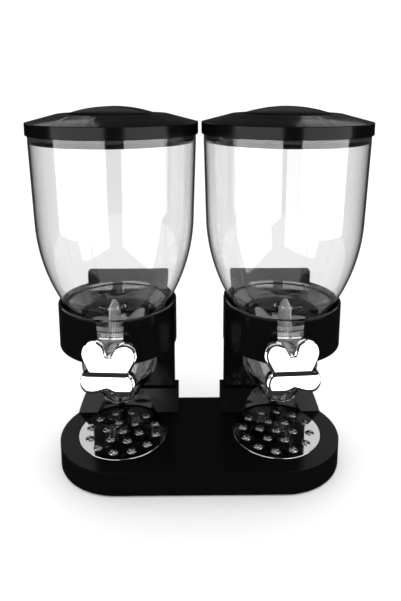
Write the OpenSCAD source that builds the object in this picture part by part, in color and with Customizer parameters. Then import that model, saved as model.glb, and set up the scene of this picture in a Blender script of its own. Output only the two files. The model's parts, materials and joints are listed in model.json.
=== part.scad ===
// Twin cereal dispenser: two lift-off hoppers with paddle wheels on one stand.
// Origin on the floor, midway between the hopper axes; +Y is the back, +Z is up.

/* [Layout] */
// Gap between the two lids
lid_space = 3; // [1:0.1:40]
// Height of the hopper's top rim
hopper_top_z = 361.5; // [340:0.5:450]
// Height of the collar's top rim
collar_top_z = 184.6; // [175:0.1:215]
// Depth of the paddle wheel's axis below the collar's rim
wheel_drop = 39.6; // [36:0.1:44]

/* [Base] */
// Width of the base around the drip plate
base_margin = 19.2; // [16:0.1:26]
// Top of the base above the floor
base_top_z = 26.7; // [22:0.1:34]
// Wall of the base moulding
base_wall = 2.5; // [2:0.1:3.5]
// Thickness of the cover under the base
cover_t = 2.4; // [2:0.1:4]
// Radius of a rubber foot
foot_r = 9; // [7:0.5:12]
// How far the feet stand out below the base
foot_out = 1.4; // [1:0.1:3]
// Top of the raised feet that carry the columns
pedestal_top_z = 50; // [44:0.5:60]

/* [Drip plate] */
// Radius of the drip plate
plate_r = 47.3; // [42:0.1:50]
// Sheet thickness of the drip plate
plate_t = 1.2; // [0.8:0.1:2]
// Radius of a dome's foot on the plate
dome_r = 4.6; // [3:0.1:6]
// Height of a dome
dome_h = 2.4; // [1.5:0.1:3]

/* [Column] */
// Distance of the column's inner side from the middle of the object
column_in_x = 28.9; // [28:0.1:34]
// Distance of the back plate's inner side from the middle of the object
back_in_x = 32.5; // [32:0.1:38]
// Wall of the column moulding
column_wall = 2.5; // [2:0.1:3]
// Depth of the column's front shell
column_front_d = 6; // [5:0.5:7]
// Depth of the column from front to back
column_d = 15.5; // [13:0.5:20]
// Height of the back plate above the collar's rim
back_rise = 9; // [6:0.1:16]

/* [Collar] */
// Outer radius of the collar
collar_r = 59.4; // [50:0.1:66]
// Wall of the collar
collar_wall = 3; // [2.5:0.1:3.5]
// Height of the collar
collar_h = 44.2; // [40:0.1:50]
// Width of the collar's front slot at the top
slot_top_w = 26; // [24:0.5:34]
// Width of the collar's front slot at the bottom
slot_bottom_w = 21; // [21:0.5:24]

/* [Hopper] */
// Outer radius of the hopper at the rim
hopper_r = 79.8; // [68:0.1:95]
// Wall of the hopper and of the wheel housing
clear_wall = 1.8; // [1.4:0.1:2.2]
// Height where the hopper starts to draw in
belly_z = 268; // [262:1:275]

/* [Wheel housing] */
// Outer radius of the wheel housing
housing_r = 39; // [34:0.1:42]
// Outer radius of the spout
spout_r = 17.3; // [15:0.1:21]
// Height of the spout's mouth
spout_z = 77; // [74:0.5:80]

/* [Paddle wheel] */
// Radius to the tip of a vane
vane_r = 34.5; // [32:0.1:35]
// Thickness of a vane
vane_t = 1.6; // [1.2:0.1:2.5]
// Number of vanes
vane_n = 6; // [5:1:8]
// Radius of the shaft
shaft_r = 3.5; // [3:0.1:4]

/* [Knob] */
// Radius of a knob lobe
lobe_r = 10.8; // [9:0.1:12]
// Sideways distance of a lobe's middle from the axis
lobe_x = 14.5; // [12:0.1:16]
// Upward distance of a lobe's middle from the axis
lobe_z = 13.2; // [12:0.1:16]
// Thickness of the knob
knob_t = 15; // [13:0.5:18]

/* [Lid] */
// Height of the lid's side wall
lid_wall_h = 11.1; // [9:0.1:14]
// Height of the lid's flat top above its side wall
lid_rise = 7.7; // [6:0.1:10]
// Radius of the lid's flat top
top_r = 53; // [50:0.5:58]
// Wall of the lid
lid_wall = 1.6; // [1.3:0.1:1.8]
// Radius of the finger well in the lid
well_r = 45; // [40:0.5:48]
// Width of the grip bar
grip_w = 17; // [14:0.5:22]
// Height of the grip bar above the flat top
grip_rise = 7; // [5:0.1:9]
// Turn of the grip bar about the lid's axis
grip_turn = -16; // [-45:1:45]

/* [Fits] */
// Radial gap between parts that turn
run_gap = 0.05; // [0.02:0.01:0.1]
// Gap between parts that lift off each other
lift_gap = 0.3; // [0.2:0.05:0.5]
// Gap around parts fixed in a recess
fix_gap = 0.2; // [0.1:0.05:0.4]

/* [Hidden] */
$fn = 96;
eps = 0.01;

// Colours
black = [0.05, 0.05, 0.055];
soft_black = [0.1, 0.1, 0.1];
clear = [0.85, 0.9, 0.92, 0.35];
silver = [0.8, 0.81, 0.83];
steel = [0.6, 0.61, 0.63];
white = [0.9, 0.9, 0.88];

// Layout
lid_gap = 0.6;
lid_r = hopper_r + lid_gap + lid_wall;
unit_x = lid_r + lid_space / 2;
wheel_z = collar_top_z - wheel_drop;
column_top_z = collar_top_z + back_rise;

// Collar
collar_bottom_z = collar_top_z - collar_h;
collar_in_r = collar_r - collar_wall;
ledge_t = 3;
flange_t = 3;
skirt_z = collar_top_z - 19.6;
ledge_z = skirt_z - flange_t;
ledge_r = housing_r + 2;
bracket_w = 70;
bracket_h = 34;
bracket_y = 40;
collar_screw_x = 27;
collar_screw_z = collar_bottom_z + bracket_h / 2;
collar_screw_len = 9;

// Hopper
taper = 0.031;
rim_z = hopper_top_z - 16.5;
foot_gap = 4.5;
belly_turn_z = collar_top_z - 2;
funnel_bottom_z = skirt_z + 6;
neck_r = housing_r - clear_wall;
belly_steps = 14;
foot_r_out = collar_in_r - foot_gap;
foot_in_r = foot_r_out - clear_wall;
belly_h = belly_z - belly_turn_z;
belly_drop = hopper_r - (rim_z - belly_turn_z) * taper - foot_r_out;
belly_r = (belly_drop * belly_drop + belly_h * belly_h) / (2 * belly_drop);

function arc_drop(r, d) = r - sqrt(r * r - d * d);
function hopper_out(z) =
    z >= rim_z ? hopper_r
    : z >= belly_z ? hopper_r - (rim_z - z) * taper
    : hopper_r - (rim_z - z) * taper - arc_drop(belly_r, belly_z - z);

// The column stands just behind the collar and the hopper
column_front_y = max(collar_r, hopper_out(column_top_z)) + 0.6;
column_back_y = column_front_y + column_d;

// Base
base_r = plate_r + base_margin;
base_y = column_back_y - base_r;
base_bottom_z = foot_out;
cover_top_z = base_bottom_z + cover_t;
pocket_r = plate_r + 0.6;
pocket_depth = 3.2;
pocket_z = base_top_z - pocket_depth;
cup_wall = 2;
cup_lap = 6;
screw_head_r = 3;
screw_head_h = 1.8;
screw_r = 1.5;
screw_seat = 1.4;
boss_r = 4;
base_boss_front_x = unit_x - 23.5;
base_boss_back_x = 14;
base_boss_side_x = unit_x + base_r - base_wall - boss_r - 3;
base_screw_len = 10;
base_boss_y = base_r - base_wall - boss_r - 2;
foot_x = unit_x + 12;
foot_y = base_r - 22;
foot_sink = 1;

// Cutting blocks reach this far past the object
reach = 300;

// Drip plate
plate_h = pocket_depth + 0.3;
dome_turn = -9;
dome_rings = [[6, 17.9], [12, 36]];

// Pedestals
pedestal_in_x = 24.5;
pedestal_front_y = column_front_y - 15;
pedestal_lean = 25;
scoop_r = plate_r + 2.2;
scoop_grow = 1;

// Column
column_split_y = column_front_y + column_front_d;
column_step_z = collar_top_z - 22;
column_corner_r = 3;
cover_rim_z = column_top_z - 6;
column_out_x = unit_x + sqrt(base_r * base_r - pow(column_front_y - base_y, 2));
column_boss_r = 4.5;
column_boss_x = [40, unit_x + 12.5];
column_boss_h = 12;
column_boss_y = column_front_y + column_boss_r + 2;
column_screw_len = 9;
column_floor_z = pedestal_top_z + 2 * column_wall + fix_gap;
cover_screw_x = [42, unit_x];
cover_screw_z = [pedestal_top_z + 28, collar_top_z - 14];
cover_boss_r = 3.4;

// Wheel housing
bowl_z = wheel_z - 29;
bowl_r = 24;
bowl_turn = 36.5;
spout_top_z = spout_z + 2.5;
bowl_steps = 6;
bushing_r = shaft_r + 2.5;
front_boss_r = bushing_r + 3;
front_boss_y = -(housing_r + 12);
bushing_flange_r = bushing_r + 2;
bushing_flange_t = 1.5;
rear_boss_r = shaft_r + 3.5;
rear_boss_y = neck_r - 7;
rear_bore_len = 5.5;

// Paddle wheel
core_r = shaft_r + 3.5;
sleeve_r = core_r + 1.5;
core_half = rear_boss_y - 1.2;
vane_ball_r = neck_r - 0.9;
left_wheel_turn = -11.5;
right_wheel_turn = 12.5;

// Knob
knob_back_y = -(collar_r + 5.6);
knob_front_y = knob_back_y - knob_t;
knob_round = 2.5;
knob_body_x = 7.5;
knob_neck_x = 6;
knob_body_z = -4;
left_knob_turn = 4;
right_knob_turn = -4.5;
stem_r = shaft_r + 3;
stem_front_y = front_boss_y - bushing_flange_t - lift_gap;
shaft_front_y = knob_front_y + 5;
shaft_back_y = neck_r - 1.2;

// Lid
lid_bottom_z = hopper_top_z - 9.3;
lid_edge_z = lid_bottom_z + lid_wall_h;
lid_top_z = lid_edge_z + lid_rise;
skirt_low_z = hopper_top_z - 16.8;
skirt_r = hopper_r - clear_wall - 0.4;
skirt_wall = 1.8;
seal_low_z = skirt_low_z + 4;
seal_h = 3.4;
seal_depth = 1;
well_depth = 8.5;
well_z = lid_top_z - well_depth;
grip_half = 43;
grip_top_z = lid_top_z + grip_rise;

// Shared shapes
module on_side(side) {
    translate([side * unit_x, 0, 0]) children();
}

module both_sides() {
    for (side = [-1, 1]) on_side(side) children();
}

module stadium(r) {
    square([2 * unit_x, 2 * r], center = true);
    for (side = [-1, 1]) translate([side * unit_x, 0]) circle(r = r, $fn = 160);
}

// Everything below a height
module below(z) {
    translate([-reach, -reach, z - reach]) cube([2 * reach, 2 * reach, reach]);
}

module stadium_block(r, z0, z1) {
    translate([0, base_y, z0]) linear_extrude(z1 - z0) stadium(r);
}

module ring(r_out, r_in, z0, z1) {
    translate([0, 0, z0]) difference() {
        cylinder(r = r_out, h = z1 - z0);
        translate([0, 0, -1]) cylinder(r = r_in, h = z1 - z0 + 2);
    }
}

module rod_y(r, y0, y1) {
    translate([0, y0, 0]) rotate([-90, 0, 0]) cylinder(r = r, h = y1 - y0);
}

module tube_y(r_out, r_in, y0, y1) {
    difference() {
        rod_y(r_out, y0, y1);
        rod_y(r_in, y0 - 1, y1 + 1);
    }
}

module screw_up(len) {
    cylinder(r = screw_head_r, h = screw_head_h, $fn = 32);
    cylinder(r = screw_r, h = screw_head_h + len, $fn = 32);
}

// Base
module pedestal_block(inset, top_z) {
    lean_d = 60;
    difference() {
        linear_extrude(top_z) intersection() {
            translate([0, base_y]) stadium(base_r - inset);
            for (side = [-1, 1])
                translate([side * (pedestal_in_x + inset + reach / 2), reach / 2 + pedestal_front_y + inset])
                    square(reach, center = true);
        }
        translate([0, pedestal_front_y + inset, base_top_z]) rotate([-pedestal_lean, 0, 0])
            translate([-reach, -lean_d, 0]) cube([2 * reach, lean_d, reach]);
        both_sides() translate([0, base_y, base_top_z])
            cylinder(
                r1 = scoop_r + inset, r2 = scoop_r + inset + scoop_grow,
                h = top_z - base_top_z + eps, $fn = 160
            );
    }
}

module base_bosses() {
    for (side = [-1, 1], place = [
        [base_boss_front_x, -base_boss_y], [base_boss_back_x, base_boss_y], [base_boss_side_x, 0]
    ])
        translate([side * place[0], base_y + place[1], 0]) children();
}

module column_bosses(side) {
    for (x = column_boss_x) translate([side * x, column_boss_y, 0]) children();
}

module base_shell() {
    color(black) difference() {
        union() {
            difference() {
                union() {
                    stadium_block(base_r, base_bottom_z, base_top_z);
                    difference() {
                        pedestal_block(0, pedestal_top_z);
                        below(base_top_z - eps);
                    }
                }
                stadium_block(base_r - base_wall, base_bottom_z - 1, base_top_z - base_wall);
                difference() {
                    pedestal_block(base_wall, pedestal_top_z - base_wall);
                    below(cover_top_z);
                }
            }
            both_sides() translate([0, base_y, 0])
                ring(pocket_r + cup_wall, pocket_r - cup_lap, pocket_z - cup_wall, base_top_z - 1);
            both_sides() translate([0, base_y, pocket_z - cup_wall])
                cylinder(r = pocket_r, h = cup_wall);
            base_bosses() translate([0, 0, cover_top_z])
                cylinder(r = boss_r, h = base_top_z - 1 - cover_top_z, $fn = 32);
        }
        both_sides() translate([0, base_y, pocket_z]) cylinder(r = pocket_r, h = pedestal_top_z, $fn = 160);
        base_bosses() translate([0, 0, cover_top_z - 1])
            cylinder(r = screw_r, h = base_screw_len + 3, $fn = 32);
        for (side = [-1, 1]) column_bosses(side)
            translate([0, 0, pedestal_top_z - base_wall - 1])
                cylinder(r = screw_r + fix_gap, h = base_wall + 2, $fn = 32);
    }
}

module base_cover() {
    color(black) difference() {
        stadium_block(base_r - base_wall - fix_gap, base_bottom_z, cover_top_z);
        base_bosses() translate([0, 0, base_bottom_z - 1]) {
            cylinder(r = screw_r + fix_gap, h = cover_t + 2, $fn = 32);
            cylinder(r = screw_head_r + fix_gap, h = screw_seat + 1, $fn = 32);
        }
        for (x = [-foot_x, foot_x], y = [-foot_y, foot_y])
            translate([x, base_y + y, base_bottom_z - 1]) cylinder(r = foot_r, h = 1 + foot_sink, $fn = 48);
    }
}

module base_screws() {
    color(steel) base_bosses()
        translate([0, 0, base_bottom_z + screw_seat - screw_head_h]) screw_up(base_screw_len);
}

module rubber_feet() {
    color(soft_black) for (x = [-foot_x, foot_x], y = [-foot_y, foot_y])
        translate([x, base_y + y, 0]) cylinder(r = foot_r, h = base_bottom_z + foot_sink, $fn = 48);
}

// Drip plate
module dome() {
    ball_r = (dome_r * dome_r + dome_h * dome_h) / (2 * dome_h);
    intersection() {
        translate([0, 0, dome_h - ball_r]) sphere(r = ball_r, $fn = 48);
        cylinder(r = dome_r + 1, h = dome_h + 1, $fn = 48);
    }
}

module drip_plate(side) {
    color(silver) on_side(side) translate([0, base_y, pocket_z]) {
        translate([0, 0, plate_h - plate_t]) cylinder(r = plate_r, h = plate_t, $fn = 160);
        ring(plate_r, plate_r - plate_t, 0, plate_h - eps);
        translate([0, 0, plate_h]) {
            dome();
            for (dome_ring = dome_rings, i = [1:dome_ring[0]])
                rotate(360 / dome_ring[0] * i + dome_turn) translate([dome_ring[1], 0, 0]) dome();
        }
    }
}

// Column
module column_face(side, inset, top_z) {
    r = column_corner_r;
    top = top_z - inset;
    low = pedestal_top_z + inset;
    foot_x = column_in_x + inset;
    in_x = back_in_x + inset;
    out_x = column_out_x - inset;
    translate([side * (foot_x + out_x) / 2, (low + column_step_z) / 2])
        square([out_x - foot_x, column_step_z - low], center = true);
    translate([side * (in_x + out_x) / 2, (low + top - r) / 2])
        square([out_x - in_x, top - r - low], center = true);
    translate([side * (in_x + out_x) / 2, top - r]) square([out_x - in_x - 2 * r, 2 * r], center = true);
    for (x = [in_x + r, out_x - r]) translate([side * x, top - r]) circle(r = r, $fn = 32);
}

// Flat front shell of the column
module column_front_block(side, inset, y0, y1) {
    translate([0, y1, 0]) rotate([90, 0, 0]) linear_extrude(y1 - y0) column_face(side, inset, column_top_z);
}

// Rear part of the column, inside the base's outline
module column_back_block(side, inset, y0, y1) {
    intersection() {
        stadium_block(base_r - inset, 0, column_top_z);
        translate([0, y1, 0]) rotate([90, 0, 0]) linear_extrude(y1 - y0)
            column_face(side, inset, cover_rim_z);
    }
}

module collar_screw_places(side) {
    for (x = [-collar_screw_x, collar_screw_x])
        on_side(side) translate([x, 0, collar_screw_z]) children();
}

module cover_screw_places(side) {
    for (x = cover_screw_x, z = cover_screw_z) translate([side * x, 0, z]) children();
}

module column(side) {
    inner_y = column_front_y + column_wall;
    color(black) difference() {
        union() {
            difference() {
                column_front_block(side, 0, column_front_y, column_split_y);
                column_front_block(side, column_wall, inner_y, column_split_y + 1);
            }
            intersection() {
                column_back_block(side, column_wall + fix_gap, inner_y - 1,
                    column_back_y - column_wall - fix_gap);
                below(column_floor_z);
            }
            column_bosses(side) translate([0, 0, pedestal_top_z])
                cylinder(r = column_boss_r, h = column_boss_h, $fn = 48);
            cover_screw_places(side) rod_y(cover_boss_r, inner_y - 1, column_back_y - column_wall - fix_gap);
        }
        column_bosses(side) translate([0, 0, pedestal_top_z - 1])
            cylinder(r = screw_r, h = column_screw_len + 1, $fn = 32);
        collar_screw_places(side) rod_y(screw_r + fix_gap, column_front_y - 1, inner_y + 1);
        cover_screw_places(side) rod_y(screw_r, inner_y + 1, column_back_y);
    }
}

module column_cover(side) {
    color(black) difference() {
        column_back_block(side, 0, column_split_y, column_back_y);
        column_back_block(side, column_wall, column_split_y - 1, column_back_y - column_wall);
        intersection() {
            stadium_block(base_r - column_wall, 0, column_floor_z + 2);
            translate([side * (column_in_x + column_wall + reach / 2), column_split_y, 0])
                cube(reach, center = true);
        }
        cover_screw_places(side) {
            rod_y(screw_r + fix_gap, column_split_y, column_back_y + 1);
            rod_y(screw_head_r + fix_gap, column_back_y - screw_head_h, column_back_y + 1);
        }
    }
}

module column_screws(side) {
    color(steel) column_bosses(side) translate([0, 0, pedestal_top_z - base_wall - screw_head_h])
        screw_up(base_wall + column_screw_len);
}

module cover_screws(side) {
    color(steel) cover_screw_places(side) {
        rod_y(screw_r, column_front_y + column_wall + 2, column_back_y - 0.3);
        rod_y(screw_head_r, column_back_y - screw_head_h, column_back_y - 0.3);
    }
}

// Collar
module collar_slot() {
    translate([0, -collar_r - 1, collar_bottom_z]) rotate([-90, 0, 0]) mirror([0, 1, 0])
        linear_extrude(collar_r + 1) polygon([
            [-slot_bottom_w / 2, -1],
            [slot_bottom_w / 2, -1],
            [slot_top_w / 2, collar_h + 1],
            [-slot_top_w / 2, collar_h + 1]
        ]);
}

module collar(side) {
    lip = 0.8;
    color(black) on_side(side) difference() {
        union() {
            rotate_extrude($fn = 160) polygon([
                [collar_in_r, collar_bottom_z],
                [collar_r - lip, collar_bottom_z],
                [collar_r, collar_bottom_z + lip],
                [collar_r, collar_top_z - lip],
                [collar_r - lip, collar_top_z],
                [collar_in_r, collar_top_z],
                [collar_in_r, ledge_z],
                [ledge_r, ledge_z],
                [ledge_r, ledge_z - ledge_t],
                [collar_in_r, ledge_z - ledge_t - 4]
            ]);
            difference() {
                translate([-bracket_w / 2, bracket_y, collar_bottom_z])
                    cube([bracket_w, column_front_y - bracket_y, bracket_h]);
                translate([0, 0, collar_bottom_z - 1])
                    cylinder(r = collar_in_r + 1, h = bracket_h + 2, $fn = 160);
            }
        }
        collar_slot();
        for (x = [-collar_screw_x, collar_screw_x]) translate([x, 0, collar_screw_z])
            rod_y(screw_r, column_front_y - collar_screw_len + column_wall, column_front_y + 1);
    }
}

module collar_screws(side) {
    color(steel) collar_screw_places(side) {
        rod_y(screw_r, column_front_y - collar_screw_len + column_wall, column_front_y + column_wall);
        rod_y(screw_head_r, column_front_y + column_wall, column_front_y + column_wall + screw_head_h);
    }
}

// Hopper
module hopper(side) {
    outside = [for (i = [0:belly_steps]) let (z = belly_z - belly_h * i / belly_steps) [hopper_out(z), z]];
    inside = [
        for (i = [belly_steps:-1:0]) let (z = belly_z - belly_h * i / belly_steps)
            [hopper_out(z) - clear_wall, z]
    ];
    color(clear) on_side(side) rotate_extrude($fn = 160) polygon(concat(
        [[hopper_r - clear_wall, hopper_top_z], [hopper_r, hopper_top_z], [hopper_r, rim_z]],
        outside,
        [[foot_r_out, skirt_z], [foot_in_r, skirt_z]],
        inside,
        [[hopper_r - clear_wall, rim_z]]
    ));
}

// Funnel that leads from the hopper's foot to the wheel
module funnel(side) {
    slope = (belly_turn_z - funnel_bottom_z) / (foot_in_r - neck_r);
    under = clear_wall * sqrt(1 + slope * slope);
    color(clear) on_side(side) rotate_extrude($fn = 160) polygon([
        [foot_in_r, belly_turn_z],
        [neck_r, funnel_bottom_z],
        [neck_r, skirt_z],
        [housing_r, skirt_z],
        [housing_r, funnel_bottom_z + slope * clear_wall - under],
        [foot_in_r, belly_turn_z - under]
    ]);
}

// Wheel housing
module outlet(side) {
    bowl_out = [
        for (i = [0:bowl_steps]) let (a = bowl_turn * i / bowl_steps)
            [housing_r - bowl_r * (1 - cos(a)), bowl_z - bowl_r * sin(a)]
    ];
    in_r = bowl_r - clear_wall;
    bowl_in = [
        for (i = [bowl_steps:-1:0]) let (a = bowl_turn * i / bowl_steps)
            [neck_r - in_r * (1 - cos(a)), bowl_z - in_r * sin(a)]
    ];
    color(clear) on_side(side) difference() {
        union() {
            rotate_extrude($fn = 160) polygon(concat(
                [[neck_r, skirt_z], [foot_r_out, skirt_z], [foot_r_out, ledge_z], [housing_r, ledge_z]],
                bowl_out,
                [
                    [spout_r, spout_top_z],
                    [spout_r, spout_z],
                    [spout_r - clear_wall, spout_z],
                    [spout_r - clear_wall, spout_top_z + 0.6]
                ],
                bowl_in
            ));
            translate([0, 0, wheel_z]) rod_y(front_boss_r, front_boss_y, -neck_r - 0.2);
            translate([0, 0, wheel_z]) rod_y(rear_boss_r, rear_boss_y, neck_r + 0.2);
        }
        translate([0, 0, wheel_z]) rod_y(bushing_r, front_boss_y - 1, -neck_r + 4);
        translate([0, 0, wheel_z])
            rod_y(shaft_r + run_gap, rear_boss_y - 1, rear_boss_y + rear_bore_len + 1);
    }
}

module shaft_bushing(side) {
    color(white) on_side(side) translate([0, 0, wheel_z]) {
        tube_y(bushing_r, shaft_r + run_gap, front_boss_y, -housing_r - 1);
        tube_y(bushing_flange_r, shaft_r + run_gap, front_boss_y - bushing_flange_t, front_boss_y);
    }
}

// Paddle wheel
module wheel_place(side) {
    on_side(side) translate([0, 0, wheel_z])
        rotate([0, side < 0 ? left_wheel_turn : right_wheel_turn, 0]) children();
}

module shaft(side) {
    color(steel) wheel_place(side) rod_y(shaft_r, shaft_front_y, shaft_back_y);
}

module wheel_core(side) {
    color(white) wheel_place(side) tube_y(core_r, shaft_r, -core_half, core_half);
}

module vane() {
    translate([-vane_t / 2, 0, 0]) rotate([90, 0, 90]) linear_extrude(vane_t) intersection() {
        circle(r = vane_ball_r);
        translate([-vane_ball_r, sleeve_r - 0.4]) square([2 * vane_ball_r, vane_r - sleeve_r + 0.4]);
        translate([-core_half, 0]) square([2 * core_half, vane_r]);
    }
}

module wheel_vanes(side) {
    color(clear) wheel_place(side) {
        tube_y(sleeve_r, core_r, -core_half, core_half);
        for (i = [0:vane_n - 1]) rotate([0, 360 / vane_n * i, 0]) vane();
    }
}

// Knob
module knob_lobe(x, z) {
    translate([x, knob_back_y, z]) rotate([90, 0, 0]) rotate_extrude($fn = 28) {
        square([lobe_r - knob_round, knob_t]);
        translate([0, knob_round]) square([lobe_r, knob_t - 2 * knob_round]);
        for (y = [knob_round, knob_t - knob_round]) intersection() {
            translate([lobe_r - knob_round, y]) circle(r = knob_round, $fn = 20);
            square([lobe_r, knob_t]);
        }
    }
}

module knob_arm(x, z, body_x) {
    hull() {
        knob_lobe(x, z);
        knob_lobe(body_x, knob_body_z);
    }
}

module knob(side) {
    turn = side < 0 ? left_knob_turn : right_knob_turn;
    color(silver) on_side(side) translate([0, 0, wheel_z]) rotate([0, turn, 0]) difference() {
        union() {
            for (way = [-1, 1]) {
                knob_arm(way * lobe_x, lobe_z, way * knob_neck_x);
                knob_arm(way * lobe_x, -lobe_z, -way * knob_body_x);
            }
            rod_y(stem_r, knob_back_y - 1, stem_front_y);
        }
        rod_y(shaft_r + run_gap, shaft_front_y, stem_front_y + 1);
    }
}

// Lid
module grip() {
    arch_r = (grip_half * grip_half + grip_rise * grip_rise) / (2 * grip_rise);
    rotate(grip_turn) intersection() {
        translate([0, grip_w / 2, grip_top_z - arch_r]) rotate([90, 0, 0])
            cylinder(r = arch_r, h = grip_w, $fn = 400);
        translate([-well_r, -grip_w / 2, well_z - lid_wall])
            cube([2 * well_r, grip_w, grip_top_z - well_z + lid_wall]);
    }
}

module lid(side) {
    color(black) on_side(side) {
        difference() {
            union() {
                rotate_extrude($fn = 160) polygon([
                    [0, lid_top_z - lid_wall],
                    [top_r - 1, lid_top_z - lid_wall],
                    [lid_r - 8, hopper_top_z],
                    [lid_r - lid_wall, hopper_top_z],
                    [lid_r - lid_wall, lid_bottom_z],
                    [lid_r, lid_bottom_z],
                    [lid_r, lid_edge_z],
                    [top_r, lid_top_z],
                    [0, lid_top_z]
                ]);
                ring(skirt_r, skirt_r - skirt_wall, skirt_low_z, hopper_top_z + 0.8);
                translate([0, 0, well_z - lid_wall])
                    cylinder(r = well_r + lid_wall, h = lid_top_z - well_z + lid_wall - eps, $fn = 120);
            }
            translate([0, 0, well_z]) cylinder(r = well_r, h = 20, $fn = 120);
            ring(skirt_r + 1, skirt_r - seal_depth, seal_low_z, seal_low_z + seal_h);
        }
        intersection() {
            grip();
            cylinder(r = well_r + lid_wall / 2, h = grip_top_z + 1, $fn = 120);
        }
    }
}

module lid_seal(side) {
    seal_r = hopper_r - clear_wall - 0.1;
    color(soft_black) on_side(side) {
        ring(skirt_r, skirt_r - seal_depth, seal_low_z, seal_low_z + seal_h);
        ring(seal_r, skirt_r - 0.2, seal_low_z + 1.1, seal_low_z + seal_h - 1.1);
    }
}

base_shell();
base_cover();
base_screws();
rubber_feet();
drip_plate(-1);  // left_drip_plate
drip_plate(1);  // right_drip_plate
column(-1);  // left_column
column(1);  // right_column
column_cover(-1);  // left_column_cover
column_cover(1);  // right_column_cover
column_screws(-1);  // left_column_screws
column_screws(1);  // right_column_screws
cover_screws(-1);  // left_cover_screws
cover_screws(1);  // right_cover_screws
collar(-1);  // left_collar
collar(1);  // right_collar
collar_screws(-1);  // left_collar_screws
collar_screws(1);  // right_collar_screws
hopper(-1);  // left_hopper
hopper(1);  // right_hopper
funnel(-1);  // left_funnel
funnel(1);  // right_funnel
outlet(-1);  // left_outlet
outlet(1);  // right_outlet
shaft_bushing(-1);  // left_shaft_bushing
shaft_bushing(1);  // right_shaft_bushing
shaft(-1);  // left_shaft
shaft(1);  // right_shaft
wheel_core(-1);  // left_wheel_core
wheel_core(1);  // right_wheel_core
wheel_vanes(-1);  // left_wheel_vanes
wheel_vanes(1);  // right_wheel_vanes
knob(-1);  // left_knob
knob(1);  // right_knob
lid(-1);  // left_lid
lid(1);  // right_lid
lid_seal(-1);  // left_lid_seal
lid_seal(1);  // right_lid_seal
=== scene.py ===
import bmesh
import bpy
import json
import math
from mathutils import Matrix, Vector


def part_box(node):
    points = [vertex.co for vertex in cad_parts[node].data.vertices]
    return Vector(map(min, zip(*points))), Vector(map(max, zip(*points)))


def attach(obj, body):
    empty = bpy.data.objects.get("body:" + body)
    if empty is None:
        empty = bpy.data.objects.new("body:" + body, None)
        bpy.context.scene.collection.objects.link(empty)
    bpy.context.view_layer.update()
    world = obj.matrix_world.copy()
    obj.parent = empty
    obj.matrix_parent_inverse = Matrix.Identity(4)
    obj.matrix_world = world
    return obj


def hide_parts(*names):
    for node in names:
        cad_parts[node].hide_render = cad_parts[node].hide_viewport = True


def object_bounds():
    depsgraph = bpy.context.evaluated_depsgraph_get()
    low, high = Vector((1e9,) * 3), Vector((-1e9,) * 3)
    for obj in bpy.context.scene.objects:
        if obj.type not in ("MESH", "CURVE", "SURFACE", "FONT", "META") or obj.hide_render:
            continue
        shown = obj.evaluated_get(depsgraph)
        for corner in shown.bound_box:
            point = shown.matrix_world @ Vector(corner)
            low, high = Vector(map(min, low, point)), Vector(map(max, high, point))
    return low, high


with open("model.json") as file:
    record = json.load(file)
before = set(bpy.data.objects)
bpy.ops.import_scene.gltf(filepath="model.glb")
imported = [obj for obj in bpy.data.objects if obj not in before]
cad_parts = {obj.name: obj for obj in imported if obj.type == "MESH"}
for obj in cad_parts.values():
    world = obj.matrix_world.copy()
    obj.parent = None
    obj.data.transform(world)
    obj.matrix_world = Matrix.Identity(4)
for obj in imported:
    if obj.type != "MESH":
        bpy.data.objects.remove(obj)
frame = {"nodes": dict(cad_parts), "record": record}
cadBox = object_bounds()
mm = 0.001
sides = ("left", "right")
print("frame loaded:", len(frame["nodes"]), "nodes")


# shader groups, built once and placed in the materials
def newGroup(name, inputs, outputs):
    group = bpy.data.node_groups.new(name, "ShaderNodeTree")
    for label, value in inputs:
        socket = group.interface.new_socket(name=label, in_out="INPUT", socket_type="NodeSocketFloat")
        socket.default_value = value
    for label, kind in outputs:
        group.interface.new_socket(name=label, in_out="OUTPUT", socket_type=kind)
    return group, group.nodes.new("NodeGroupInput"), group.nodes.new("NodeGroupOutput")


def mathNode(tree, operation, first, second=None):
    node = tree.nodes.new("ShaderNodeMath")
    node.operation = operation
    for slot, value in enumerate((first, second)):
        if value is None:
            continue
        if isinstance(value, (int, float)):
            node.inputs[slot].default_value = value
        else:
            tree.links.new(value, node.inputs[slot])
    return node.outputs[0]


def mapRange(tree, value, low, high, fromLow=0.0, fromHigh=1.0):
    node = tree.nodes.new("ShaderNodeMapRange")
    tree.links.new(value, node.inputs["Value"])
    for label, setting in (("From Min", fromLow), ("From Max", fromHigh), ("To Min", low), ("To Max", high)):
        if isinstance(setting, (int, float)):
            node.inputs[label].default_value = setting
        else:
            tree.links.new(setting, node.inputs[label])
    return node.outputs["Result"]


def noiseOf(tree, scale, detail, vector=None):
    node = tree.nodes.new("ShaderNodeTexNoise")
    node.inputs["Detail"].default_value = detail
    if isinstance(scale, (int, float)):
        node.inputs["Scale"].default_value = scale
    else:
        tree.links.new(scale, node.inputs["Scale"])
    if vector is None:
        vector = tree.nodes.new("ShaderNodeTexCoord").outputs["Object"]
    tree.links.new(vector, node.inputs["Vector"])
    return node.outputs["Fac"]


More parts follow.
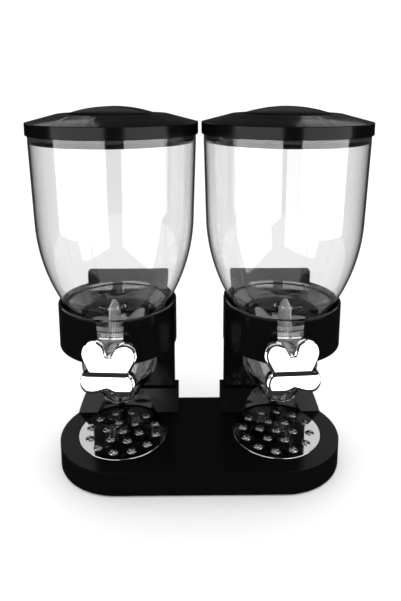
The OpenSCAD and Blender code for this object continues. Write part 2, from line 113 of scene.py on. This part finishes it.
def mouldedSurfaceGroup():
    # soft handling marks in the gloss, a very fine moulding grain, and a faint film of dust on upward faces
    group, given, out = newGroup(
        "mouldedSurface",
        [("Mark Scale", 30.0), ("Grain Scale", 2500.0), ("Gloss Low", 0.1), ("Gloss High", 0.2),
         ("Dust", 0.0)],
        [("Roughness", "NodeSocketFloat"), ("Height", "NodeSocketFloat"), ("Dust", "NodeSocketFloat")])
    marks = noiseOf(group, given.outputs["Mark Scale"], 4.0)
    grain = noiseOf(group, given.outputs["Grain Scale"], 2.0)
    rough = mapRange(group, marks, given.outputs["Gloss Low"], given.outputs["Gloss High"], 0.3, 0.7)
    geometry = group.nodes.new("ShaderNodeNewGeometry")
    split = group.nodes.new("ShaderNodeSeparateXYZ")
    group.links.new(geometry.outputs["Normal"], split.inputs[0])
    upward = mapRange(group, split.outputs["Z"], 0.0, 1.0, 0.6, 1.0)
    specks = mapRange(group, noiseOf(group, 420.0, 3.0), 0.0, 1.0, 0.5, 0.75)
    dust = mathNode(group, "MULTIPLY", mathNode(group, "MULTIPLY", upward, specks), given.outputs["Dust"])
    rougher = mathNode(group, "ADD", rough, mathNode(group, "MULTIPLY", dust, 0.3))
    group.links.new(rougher, out.inputs["Roughness"])
    group.links.new(grain, out.inputs["Height"])
    group.links.new(dust, out.inputs["Dust"])
    return group


def metalSurfaceGroup():
    # polish that varies in soft patches, with hair lines that run across one axis
    group, given, out = newGroup(
        "metalSurface",
        [("Patch Scale", 25.0), ("Line Scale", 900.0), ("Line Amount", 0.3), ("Gloss Low", 0.04),
         ("Gloss High", 0.1)],
        [("Roughness", "NodeSocketFloat"), ("Height", "NodeSocketFloat"),
         ("Tarnish", "NodeSocketFloat")])
    patches = noiseOf(group, given.outputs["Patch Scale"], 3.0)
    coordinates = group.nodes.new("ShaderNodeTexCoord").outputs["Object"]
    stretch = group.nodes.new("ShaderNodeMapping")
    stretch.inputs["Scale"].default_value = (1.0, 0.04, 1.0)
    group.links.new(coordinates, stretch.inputs["Vector"])
    lines = noiseOf(group, given.outputs["Line Scale"], 2.0, stretch.outputs["Vector"])
    mixed = mathNode(group, "ADD", patches, mathNode(
        group, "MULTIPLY", mathNode(group, "SUBTRACT", lines, 0.5), given.outputs["Line Amount"]))
    group.links.new(mapRange(group, mixed, given.outputs["Gloss Low"], given.outputs["Gloss High"], 0.3, 0.7),
                    out.inputs["Roughness"])
    group.links.new(mathNode(group, "MULTIPLY", lines, given.outputs["Line Amount"]), out.inputs["Height"])
    group.links.new(mapRange(group, patches, 0.0, 1.0, 0.55, 0.8), out.inputs["Tarnish"])
    return group


mouldedSurface = mouldedSurfaceGroup()
metalSurface = metalSurfaceGroup()


# materials
def startMaterial(name):
    material = bpy.data.materials.new(name)
    material.use_nodes = True
    tree = material.node_tree
    tree.nodes.clear()
    output = tree.nodes.new("ShaderNodeOutputMaterial")
    shader = tree.nodes.new("ShaderNodeBsdfPrincipled")
    tree.links.new(shader.outputs[0], output.inputs["Surface"])
    return material, tree, shader


def placeGroup(tree, group, values):
    node = tree.nodes.new("ShaderNodeGroup")
    node.node_tree = group
    for label, value in values.items():
        node.inputs[label].default_value = value
    return node


def addBump(tree, shader, height, strength, distance):
    bump = tree.nodes.new("ShaderNodeBump")
    bump.inputs["Strength"].default_value = strength
    bump.inputs["Distance"].default_value = distance
    tree.links.new(height, bump.inputs["Height"])
    tree.links.new(bump.outputs["Normal"], shader.inputs["Normal"])


def mixColour(tree, factor, first, second):
    node = tree.nodes.new("ShaderNodeMix")
    node.data_type = "RGBA"
    tree.links.new(factor, node.inputs["Factor"])
    node.inputs[6].default_value = (*first, 1.0)
    node.inputs[7].default_value = (*second, 1.0)
    return node.outputs[2]


def plasticMaterial(name, look):
    material, tree, shader = startMaterial(name)
    surface = placeGroup(tree, mouldedSurface, look["surface"])
    tree.links.new(mixColour(tree, surface.outputs["Dust"], look["colour"], look["dustColour"]),
                   shader.inputs["Base Color"])
    tree.links.new(surface.outputs["Roughness"], shader.inputs["Roughness"])
    addBump(tree, shader, surface.outputs["Height"], look["bump"], 0.0002)
    shader.inputs["IOR"].default_value = look.get("ior", 1.5)
    shader.inputs["Specular IOR Level"].default_value = look.get("sheen", 0.4)
    return material


def metalMaterial(name, look):
    material, tree, shader = startMaterial(name)
    surface = placeGroup(tree, metalSurface, look["surface"])
    shader.inputs["Metallic"].default_value = 1.0
    tree.links.new(mixColour(tree, surface.outputs["Tarnish"], look["colour"], look["tarnishColour"]),
                   shader.inputs["Base Color"])
    tree.links.new(surface.outputs["Roughness"], shader.inputs["Roughness"])
    addBump(tree, shader, surface.outputs["Height"], look["bump"], 0.0001)
    return material


def clearMaterial(name, look):
    # clear plastic that lets light through to what stands behind it
    material, tree, shader = startMaterial(name)
    surface = placeGroup(tree, mouldedSurface, look["surface"])
    tree.links.new(mixColour(tree, surface.outputs["Dust"], look["colour"], look["dustColour"]),
                   shader.inputs["Base Color"])
    tree.links.new(surface.outputs["Roughness"], shader.inputs["Roughness"])
    shader.inputs["Transmission Weight"].default_value = look["transmission"]
    shader.inputs["IOR"].default_value = look["ior"]
    through = tree.nodes.new("ShaderNodeBsdfTransparent")
    through.inputs["Color"].default_value = (*look["shade"], 1.0)
    light = tree.nodes.new("ShaderNodeLightPath")
    mix = tree.nodes.new("ShaderNodeMixShader")
    tree.links.new(light.outputs["Is Shadow Ray"], mix.inputs["Fac"])
    tree.links.new(shader.outputs[0], mix.inputs[1])
    tree.links.new(through.outputs[0], mix.inputs[2])
    tree.links.new(mix.outputs[0], tree.nodes["Material Output"].inputs["Surface"])
    return material


finishes = {
    "gloss_black": plasticMaterial("glossBlackPlastic", {
        "colour": (0.003, 0.003, 0.0032), "dustColour": (0.03, 0.03, 0.03), "bump": 0.02, "sheen": 0.17,
        "surface": {"Mark Scale": 28.0, "Grain Scale": 1800.0, "Gloss Low": 0.11, "Gloss High": 0.19,
                    "Dust": 0.04}}),
    "matte_black": plasticMaterial("plainBlackPlastic", {
        "colour": (0.005, 0.005, 0.005), "dustColour": (0.03, 0.03, 0.03), "bump": 0.2, "sheen": 0.08,
        "surface": {"Mark Scale": 20.0, "Grain Scale": 1400.0, "Gloss Low": 0.38, "Gloss High": 0.5,
                    "Dust": 0.06}}),
    "white_plastic": plasticMaterial("whitePlastic", {
        "colour": (0.72, 0.72, 0.7), "dustColour": (0.5, 0.49, 0.46), "bump": 0.1,
        "surface": {"Mark Scale": 30.0, "Grain Scale": 1600.0, "Gloss Low": 0.3, "Gloss High": 0.42,
                    "Dust": 0.2}}),
    "foot_rubber": plasticMaterial("footRubber", {
        "colour": (0.02, 0.02, 0.02), "dustColour": (0.09, 0.085, 0.08), "bump": 0.5,
        "surface": {"Mark Scale": 40.0, "Grain Scale": 1100.0, "Gloss Low": 0.6, "Gloss High": 0.75,
                    "Dust": 0.5}}),
    "seal_rubber": plasticMaterial("sealRubber", {
        "colour": (0.002, 0.002, 0.002), "dustColour": (0.01, 0.01, 0.01), "bump": 0.3,
        "surface": {"Mark Scale": 40.0, "Grain Scale": 1300.0, "Gloss Low": 0.35, "Gloss High": 0.5,
                    "Dust": 0.1}}),
    "chrome": metalMaterial("brightChrome", {
        "colour": (0.9, 0.9, 0.91), "tarnishColour": (0.84, 0.84, 0.86), "bump": 0.01,
        "surface": {"Patch Scale": 22.0, "Line Scale": 700.0, "Line Amount": 0.05,
                    "Gloss Low": 0.03, "Gloss High": 0.07}}),
    "shaft_steel": metalMaterial("turnedSteel", {
        "colour": (0.56, 0.565, 0.58), "tarnishColour": (0.44, 0.44, 0.45), "bump": 0.15,
        "surface": {"Patch Scale": 60.0, "Line Scale": 1600.0, "Line Amount": 0.5,
                    "Gloss Low": 0.2, "Gloss High": 0.34}}),
    "screw_steel": metalMaterial("zincScrew", {
        "colour": (0.5, 0.51, 0.53), "tarnishColour": (0.38, 0.38, 0.36), "bump": 0.2,
        "surface": {"Patch Scale": 180.0, "Line Scale": 2200.0, "Line Amount": 0.35,
                    "Gloss Low": 0.25, "Gloss High": 0.4}}),
    "clear_plastic": clearMaterial("clearPlastic", {
        "colour": (0.992, 0.994, 0.994), "dustColour": (0.9, 0.9, 0.9), "shade": (0.94, 0.945, 0.95),
        "transmission": 1.0, "ior": 1.57,
        "surface": {"Mark Scale": 18.0, "Grain Scale": 900.0, "Gloss Low": 0.0, "Gloss High": 0.02,
                    "Dust": 0.0}}),
    "clear_silicone": clearMaterial("clearSilicone", {
        "colour": (0.9, 0.905, 0.905), "dustColour": (0.8, 0.8, 0.8), "shade": (0.8, 0.805, 0.81),
        "transmission": 0.55, "ior": 1.42,
        "surface": {"Mark Scale": 45.0, "Grain Scale": 900.0, "Gloss Low": 0.08, "Gloss High": 0.18,
                    "Dust": 0.0}}),
}
slotOf = {row["node"]: row["material_slot"] for row in frame["record"]["subparts"]}
bodyOf = {node: body for body, nodes in frame["record"]["behaviour"]["bodies"].items() for node in nodes}
print("materials made:", len(finishes))


# mesh helpers
def sharpenByAngle(work, degrees):
    limit = math.radians(degrees)
    for face in work.faces:
        face.smooth = True
    for edge in work.edges:
        edge.smooth = len(edge.link_faces) == 2 and edge.calc_face_angle(0.0) < limit


def addPiece(name, mesh, node):
    # a finished piece that stands for one node and moves with its body
    piece = bpy.data.objects.new(name, mesh)
    bpy.context.scene.collection.objects.link(piece)
    mesh.materials.append(finishes[slotOf[node]])
    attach(piece, bodyOf[node])
    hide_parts(node)
    return piece


def copyOfNode(node):
    source = frame["nodes"][node].data
    mesh = bpy.data.meshes.new(node + "Mesh")
    corners = [vertex.co[:] for vertex in source.vertices]
    mesh.from_pydata(corners, [], [tuple(face.vertices) for face in source.polygons])
    return mesh


def roundedCopy(node, look):
    # the node's own shape, welded and with its edges rounded over
    mesh = copyOfNode(node)
    work = bmesh.new()
    work.from_mesh(mesh)
    bmesh.ops.remove_doubles(work, verts=work.verts, dist=0.004 * mm)
    bmesh.ops.dissolve_limit(work, angle_limit=math.radians(0.4), verts=work.verts, edges=work.edges)
    sharpenByAngle(work, look.get("sharp", 32))
    work.to_mesh(mesh)
    work.free()
    piece = addPiece(node + "_finished", mesh, node)
    if look["edge"] > 0:
        rounding = piece.modifiers.new("edgeRounding", "BEVEL")
        rounding.width = look["edge"] * mm
        rounding.segments = look.get("steps", 2)
        rounding.limit_method = "ANGLE"
        rounding.angle_limit = math.radians(look.get("sharp", 32))
        rounding.use_clamp_overlap = True
    shading = piece.modifiers.new("flatFacesStayFlat", "WEIGHTED_NORMAL")
    shading.keep_sharp = True
    shading.weight = 100


roundSteps = 200  # flats round a hopper, funnel or wheel housing


def latheMesh(name, outline, centre, around):
    # turns a closed (radius, height) outline about the vertical through centre
    count = len(outline)
    vertices = []
    for step in range(around):
        angle = 2 * math.pi * step / around
        across, along = math.cos(angle), math.sin(angle)
        vertices += [(centre[0] + r * across, centre[1] + r * along, z) for r, z in outline]
    faces = []
    for step in range(around):
        following = (step + 1) % around
        for k in range(count):
            m = (k + 1) % count
            faces.append((step * count + k, following * count + k,
                          following * count + m, step * count + m))
    mesh = bpy.data.meshes.new(name)
    mesh.from_pydata(vertices, [], faces)
    work = bmesh.new()
    work.from_mesh(mesh)
    bmesh.ops.recalc_face_normals(work, faces=work.faces)
    sharpenByAngle(work, 40)
    work.to_mesh(mesh)
    work.free()
    return mesh


def boxOf(node):
    low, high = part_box(node)
    return Vector(low), Vector(high), (Vector(low) + Vector(high)) / 2


# hoppers and the funnels that sit in their feet
hopperLook = {"wall": 1.8, "rimDrop": 16.5, "taper": 0.031, "bellyDrop": 93.5, "footRadius": 51.9,
              "footRise": 17.6, "wallSteps": 6, "bellySteps": 40, "lip": 0.5}
funnelLook = {"wall": 1.8, "foot": 6.0, "neckRadius": 37.2, "edge": 0.25}


def hopperOutline(radius, low, high):
    look = hopperLook
    wall = look["wall"]
    rimZ = high - look["rimDrop"]
    bellyZ = high - look["bellyDrop"]
    turnZ = low + look["footRise"]
    height = bellyZ - turnZ
    drop = radius - (rimZ - turnZ) * look["taper"] - look["footRadius"]
    arc = (drop * drop + height * height) / (2 * drop)

    def outer(z):
        if z >= rimZ:
            return radius
        straight = radius - (rimZ - z) * look["taper"]
        if z >= bellyZ:
            return straight
        return straight - (arc - math.sqrt(arc * arc - (bellyZ - z) ** 2))

    wallSteps, bellySteps = look["wallSteps"], look["bellySteps"]
    heights = [rimZ + (bellyZ - rimZ) * i / wallSteps for i in range(wallSteps + 1)]
    heights += [bellyZ + (turnZ - bellyZ) * i / bellySteps for i in range(1, bellySteps + 1)]
    foot = look["footRadius"]
    lip = look["lip"]
    inner = radius - wall
    rim = [(inner, high - lip), (inner + lip, high), (radius - lip, high), (radius, high - lip)]
    return (rim + [(outer(z), z) for z in heights]
            + [(foot, low), (foot - wall, low)]
            + [(outer(z) - wall, z) for z in reversed(heights)])


def funnelOutline(radius, low, high):
    # the sloped ring and the short neck under it
    look = funnelLook
    wall, neck, edge = look["wall"], look["neckRadius"], look["edge"]
    foot = low + look["foot"]
    slope = (high - foot) / (radius - neck)
    under = wall * math.sqrt(1 + slope * slope)
    return [(neck, low), (neck, foot - edge), (neck + edge, foot + edge * slope),
            (radius - edge, high - edge * slope), (radius, high - 2 * edge), (radius, high - under),
            (neck + wall, foot + slope * wall - under), (neck + wall, low)]


for side in sides:
    for kind, outlineOf in (("hopper", hopperOutline), ("funnel", funnelOutline)):
        low, high, middle = boxOf(side + "_" + kind)
        outline = outlineOf((high.x - low.x) / 2 / mm, low.z / mm, high.z / mm)
        metres = [(r * mm, z * mm) for r, z in outline]
        mesh = latheMesh(side + kind.capitalize() + "Mesh", metres, middle, roundSteps)
        addPiece(side + "_" + kind + "_finished", mesh, side + "_" + kind)
print("hoppers and funnels made")


# wheel housings
outletLook = {"wall": 1.8, "radius": 39.0, "flange": 51.9, "flangeThickness": 3.0, "bowlTop": 39.0,
              "bowlRadius": 24.0, "bowlTurn": 36.5, "spoutRadius": 17.3, "spoutHeight": 2.5,
              "spoutBlend": 0.6, "steps": 14}
bossLooks = {"front": {"outer": 9.0, "inner": 6.0, "from": -51.0, "to": -38.6},
             "back": {"outer": 7.0, "inner": 3.6, "from": 30.2, "to": 37.0}}
bossSteps = 64  # flats round a boss


def outletOutline(low, high):
    look = outletLook
    wall, radius, bowl = look["wall"], look["radius"], look["bowlRadius"]
    bowlZ = low + look["bowlTop"]
    turns = [math.radians(look["bowlTurn"] * i / look["steps"]) for i in range(look["steps"] + 1)]
    outside = [(radius - bowl * (1 - math.cos(a)), bowlZ - bowl * math.sin(a)) for a in turns]
    inside = [(radius - wall - (bowl - wall) * (1 - math.cos(a)), bowlZ - (bowl - wall) * math.sin(a))
              for a in reversed(turns)]
    spout, spoutTop = look["spoutRadius"], low + look["spoutHeight"]
    flange, flangeFoot = look["flange"], high - look["flangeThickness"]
    return ([(radius - wall, high), (flange, high), (flange, flangeFoot), (radius, flangeFoot)] + outside
            + [(spout, spoutTop), (spout, low), (spout - wall, low),
               (spout - wall, spoutTop + look["spoutBlend"])]
            + inside)


def bossMesh(name, look, centre):
    # a short tube along the shaft's axis
    outer, inner, start, end = (look[label] * mm for label in ("outer", "inner", "from", "to"))
    outline = [(outer, start), (outer, end), (inner, end), (inner, start)]
    mesh = latheMesh(name, outline, (0, 0), bossSteps)
    lying = Matrix.Rotation(math.radians(-90), 4, "X")
    mesh.transform(Matrix.Translation((centre.x, 0, centre.z)) @ lying)
    return mesh


for side in sides:
    low, high = boxOf(side + "_outlet")[:2]
    shaftMiddle = boxOf(side + "_shaft")[2]
    axis = Vector((shaftMiddle.x, 0, shaftMiddle.z))
    outline = outletOutline(low.z / mm, high.z / mm)
    metres = [(r * mm, z * mm) for r, z in outline]
    mesh = latheMesh(side + "OutletMesh", metres, axis, roundSteps)
    addPiece(side + "_outlet_finished", mesh, side + "_outlet")
    for label, look in bossLooks.items():
        extra = bossMesh(side + label.capitalize() + "Boss", look, axis)
        boss = bpy.data.objects.new(side + "_" + label + "_boss", extra)
        bpy.context.scene.collection.objects.link(boss)
        extra.materials.append(finishes["clear_plastic"])
        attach(boss, bodyOf[side + "_outlet"])
print("wheel housings made")


# knobs
knobLook = {"grid": 0.5, "smoothing": 16, "plate": 15.0, "upperRidge": -2.0, "lowerRidge": -20.0,
            "stepHeight": 4.5, "slope": 0.2, "curl": 0.0058, "turn": 0.06, "deepest": 0.75,
            "fillRadius": 10.8, "fillRise": 0.5, "fillSides": 48}


def applyModifiers(piece):
    view = bpy.context.evaluated_depsgraph_get()
    finished = bpy.data.meshes.new_from_object(piece.evaluated_get(view))
    piece.modifiers.clear()
    piece.data = finished


def knobSetBack(x, z):
    # how far the front face lies behind the two ridges: it leans back above each one and slightly outwards
    look = knobLook

    def lean(rise):
        return look["slope"] * rise + look["curl"] * rise * rise

    if z >= look["upperRidge"]:
        depth = lean(z - look["upperRidge"])
    else:
        under = lean(max(z, look["lowerRidge"]) - look["lowerRidge"])
        share = min(1.0, (look["upperRidge"] - z) / look["stepHeight"])
        depth = under * share
    return depth + look["turn"] * x


for side in sides:
    low, high = boxOf(side + "_knob")[:2]
    mesh = copyOfNode(side + "_knob")
    work = bmesh.new()
    work.from_mesh(mesh)
    fill, plate = knobLook["fillRadius"] * mm, knobLook["plate"] * mm
    shaftMiddle = boxOf(side + "_shaft")[2]
    centre = Vector((shaftMiddle.x, low.y + plate / 2, shaftMiddle.z + knobLook["fillRise"] * mm))
    place = Matrix.Translation(centre) @ Matrix.Rotation(math.radians(90), 4, "X")
    bmesh.ops.create_cone(work, cap_ends=True, segments=knobLook["fillSides"], radius1=fill,
                          radius2=fill, depth=plate, matrix=place)
    work.to_mesh(mesh)
    work.free()
    piece = bpy.data.objects.new(side + "_knob_finished", mesh)
    bpy.context.scene.collection.objects.link(piece)
    remesh = piece.modifiers.new("evenSkin", "REMESH")
    remesh.mode = "VOXEL"
    remesh.voxel_size = knobLook["grid"] * mm
    applyModifiers(piece)
    front, knobHalf = low.y, (high.x - low.x) / 2
    for vertex in piece.data.vertices:
        ahead = (front + plate - vertex.co.y) / plate
        if ahead > 0:
            outward = (vertex.co.x - shaftMiddle.x) * math.copysign(1.0, shaftMiddle.x)
            rise = vertex.co.z - shaftMiddle.z
            back = knobSetBack((outward + knobHalf) / mm, rise / mm) * mm
            vertex.co.y += min(1.0, ahead) * min(back, knobLook["deepest"] * plate)
    polish = piece.modifiers.new("polish", "SMOOTH")
    polish.factor = 0.5
    polish.iterations = knobLook["smoothing"]
    applyModifiers(piece)
    piece.data.shade_smooth()
    piece.data.materials.append(finishes["chrome"])
    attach(piece, bodyOf[side + "_knob"])
    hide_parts(side + "_knob")
print("knobs made")


# everything else keeps its shape and gets finished edges
edgeLooks = {
    "base_shell": {"edge": 1.4, "steps": 3}, "base_cover": {"edge": 0.4}, "base_screws": {"edge": 0.3},
    "rubber_feet": {"edge": 0.6}, "drip_plate": {"edge": 0.3}, "column": {"edge": 0.9, "steps": 3},
    "column_cover": {"edge": 0.7}, "column_screws": {"edge": 0.2}, "cover_screws": {"edge": 0.3},
    "collar": {"edge": 0.4}, "collar_screws": {"edge": 0.2}, "shaft_bushing": {"edge": 0.3},
    "shaft": {"edge": 0.3}, "wheel_core": {"edge": 0.3}, "wheel_vanes": {"edge": 0.3},
    "lid": {"edge": 0.9, "steps": 3}, "lid_seal": {"edge": 0.2},
}
for node in frame["nodes"]:
    kind = node.split("_", 1)[1] if node.split("_", 1)[0] in sides else node
    if kind in edgeLooks:
        roundedCopy(node, edgeLooks[kind])
print("finished copies made")


# floor, light and camera
studio = {"floorSize": 60.0, "floorDrop": 0.0002, "floorColour": 0.95, "floorCloud": 0.01,
          "seenThroughPaintedShade": 0.78, "mirrored": 0.12, "world": 1.25, "throughWorld": 1.1,
          "mirrorWorld": 0.045, "mirroredThrough": 1.1}


def byRay(tree, plain, through, mirrored, mirroredThrough):
    # a value for plain sight, one through clear plastic, and one each for reflections off it and in it
    light = tree.nodes.new("ShaderNodeLightPath")
    shining = mathNode(tree, "GREATER_THAN", light.outputs["Glossy Depth"], 0.5)
    passing = light.outputs["Is Transmission Ray"]
    return mapRange(tree, shining, mapRange(tree, passing, plain, through),
                    mapRange(tree, passing, mirrored, mirroredThrough))


def makeFloor():
    mesh = bpy.data.meshes.new("floorMesh")
    half = studio["floorSize"] / 2
    corners = [(-half, -half, 0), (half, -half, 0), (half, half, 0), (-half, half, 0)]
    mesh.from_pydata(corners, [], [(0, 1, 2, 3)])
    floor = bpy.data.objects.new("floor", mesh)
    bpy.context.scene.collection.objects.link(floor)
    material, tree, shader = startMaterial("paleFloor")
    pale, cloud = studio["floorColour"], studio["floorCloud"]
    tone = mapRange(tree, noiseOf(tree, 3.0, 2.0), pale - cloud, pale + cloud)
    # painted shade and light: the floor's colour is scaled by ray type. It is darker where seen through clear
    # plastic and in reflections, and lighter where a reflection is seen through clear plastic
    share = byRay(tree, 1.0, studio["seenThroughPaintedShade"], studio["mirrored"], studio["mirroredThrough"])
    tree.links.new(mathNode(tree, "MULTIPLY", tone, share), shader.inputs["Base Color"])
    shader.inputs["Roughness"].default_value = 0.9
    shader.inputs["Specular IOR Level"].default_value = 0.1
    mesh.materials.append(material)
    floor.location.z = cadBox[0][2] - studio["floorDrop"]


def makeWorld():
    world = bpy.data.worlds.new("studio")
    bpy.context.scene.world = world
    world.use_nodes = True
    tree = world.node_tree
    background = tree.nodes["Background"]
    background.inputs["Color"].default_value = (1, 1, 1, 1)
    tree.links.new(byRay(tree, studio["world"], studio["throughWorld"], studio["mirrorWorld"],
                         studio["mirroredThrough"]),
                   background.inputs["Strength"])


# the two front boxes and the rear cards show only in glossy and clear surfaces; the top box lights all
softBoxes = {
    "leftBox": {"azimuth": -41, "distance": 0.8, "height": 0.31, "aimHeight": 0.31, "size": (1.05, 0.58),
                "brightness": 3.0, "lightsAll": False, "passesClear": True},
    "rightBox": {"azimuth": 47, "distance": 0.8, "height": 0.31, "aimHeight": 0.31, "size": (0.95, 0.58),
                 "brightness": 3.0, "lightsAll": False, "passesClear": True},
    "topBox": {"azimuth": 10, "distance": 0.5, "height": 1.5, "aimHeight": 0.2, "size": (1.2, 0.8),
               "brightness": 0.8, "lightsAll": True, "passesClear": True},
    "leftCard": {"azimuth": -143, "distance": 1.18, "height": 0.95, "aimHeight": 0.95, "size": (0.9, 0.5),
                 "brightness": 0.6, "lightsAll": False, "passesClear": False},
    "rightCard": {"azimuth": 143, "distance": 1.18, "height": 0.95, "aimHeight": 0.95, "size": (0.9, 0.5),
                  "brightness": 0.6, "lightsAll": False, "passesClear": False},
}


def makeSoftBox(name, look):
    light = bpy.data.lights.new(name, "AREA")
    light.shape = "RECTANGLE"
    light.size, light.size_y = look["size"]
    light.energy = look["brightness"] * math.pi * light.size * light.size_y
    lamp = bpy.data.objects.new(name, light)
    bpy.context.scene.collection.objects.link(lamp)
    turn, reach = math.radians(look["azimuth"]), look["distance"]
    lamp.location = (reach * math.sin(turn), -reach * math.cos(turn), look["height"])
    aim = Vector((0, 0, look["aimHeight"])) - lamp.location
    lamp.rotation_euler = aim.to_track_quat("-Z", "Y").to_euler()
    lamp.visible_camera = False
    lamp.visible_transmission = look["passesClear"]
    lamp.visible_diffuse = look["lightsAll"]


cameraLook = {"place": (-0.00573, -0.53231, 0.39446), "pitch": 10.83, "yaw": -0.69, "lens": 32.91,
              "shift": -0.178}


def makeCamera():
    data = bpy.data.cameras.new("camera")
    data.sensor_fit = "AUTO"
    data.sensor_width = 36.0
    data.lens = cameraLook["lens"]
    data.shift_y = cameraLook["shift"]
    data.clip_start = 0.01
    camera = bpy.data.objects.new("camera", data)
    bpy.context.scene.collection.objects.link(camera)
    camera.location = cameraLook["place"]
    tilt = math.radians(90 - cameraLook["pitch"])
    camera.rotation_euler = (tilt, 0, math.radians(cameraLook["yaw"]))
    bpy.context.scene.camera = camera


makeFloor()
makeWorld()
for name, look in softBoxes.items():
    makeSoftBox(name, look)
makeCamera()
bpy.context.scene.view_settings.view_transform = "Standard"
print("studio made")
